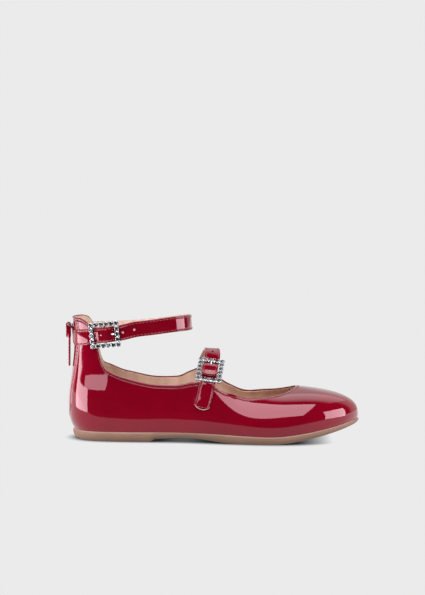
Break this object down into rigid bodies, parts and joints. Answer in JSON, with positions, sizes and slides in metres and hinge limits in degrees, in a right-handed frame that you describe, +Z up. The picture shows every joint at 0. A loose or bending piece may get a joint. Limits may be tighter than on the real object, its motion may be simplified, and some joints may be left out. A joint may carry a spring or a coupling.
{
  "type": "mary jane shoe",
  "caption": "Low patent mary jane with a high back column and zip, a buckled instep strap and a buckled ankle strap, both with stone-set buckles, on a thin rubber sole.",
  "frame": {"origin": "middle of the heel's flat underside, on the floor", "axes": "+X from heel to toe, +Y to the foot's inner (medial) side, +Z up"},
  "size_m": [0.229, 0.0792, 0.0974],
  "materials": {
    "red_patent": "high gloss patent",
    "tan_rubber": "matt",
    "tan_lining": "matt",
    "red_textile": "woven",
    "silver_metal": "polished",
    "clear_stone": "faceted, foiled"
  },
  "bodies": {
    "shoe": {"outsole": "tan_rubber", "insole": "tan_lining", "upper": "red_patent", "zip_tape": "red_textile", "zip_chain": "red_textile", "zip_slider": "silver_metal", "ankle_strap": "red_patent", "ankle_tab": "red_patent", "ankle_buckle": "silver_metal", "ankle_prong": "silver_metal", "instep_strap": "red_patent", "instep_tab": "red_patent", "instep_buckle": "silver_metal", "instep_prong": "silver_metal", "ankle_stone_01": "clear_stone", "ankle_stone_02": "clear_stone", "ankle_stone_03": "clear_stone", "ankle_stone_04": "clear_stone", "ankle_stone_05": "clear_stone", "ankle_stone_06": "clear_stone", "ankle_stone_07": "clear_stone", "ankle_stone_08": "clear_stone", "ankle_stone_09": "clear_stone", "ankle_stone_10": "clear_stone", "ankle_stone_11": "clear_stone", "ankle_stone_12": "clear_stone", "ankle_stone_13": "clear_stone", "ankle_stone_14": "clear_stone", "ankle_stone_15": "clear_stone", "ankle_stone_16": "clear_stone", "ankle_stone_17": "clear_stone", "ankle_stone_18": "clear_stone", "instep_stone_01": "clear_stone", "instep_stone_02": "clear_stone", "instep_stone_03": "clear_stone", "instep_stone_04": "clear_stone", "instep_stone_05": "clear_stone", "instep_stone_06": "clear_stone", "instep_stone_07": "clear_stone", "instep_stone_08": "clear_stone", "instep_stone_09": "clear_stone", "instep_stone_10": "clear_stone", "instep_stone_11": "clear_stone", "instep_stone_12": "clear_stone", "instep_stone_13": "clear_stone", "instep_stone_14": "clear_stone", "instep_stone_15": "clear_stone", "instep_stone_16": "clear_stone", "instep_stone_17": "clear_stone", "instep_stone_18": "clear_stone"},
    "pull": {"zip_pull": "red_patent"}
  },
  "joints": [
    {"name": "pull_swing", "type": "hinge", "parent": "shoe", "child": "pull", "pos_m": [-0.03785, 0, 0.0885], "axis": [0, 1, 0], "range_deg": [-2, 150]}
  ]
}
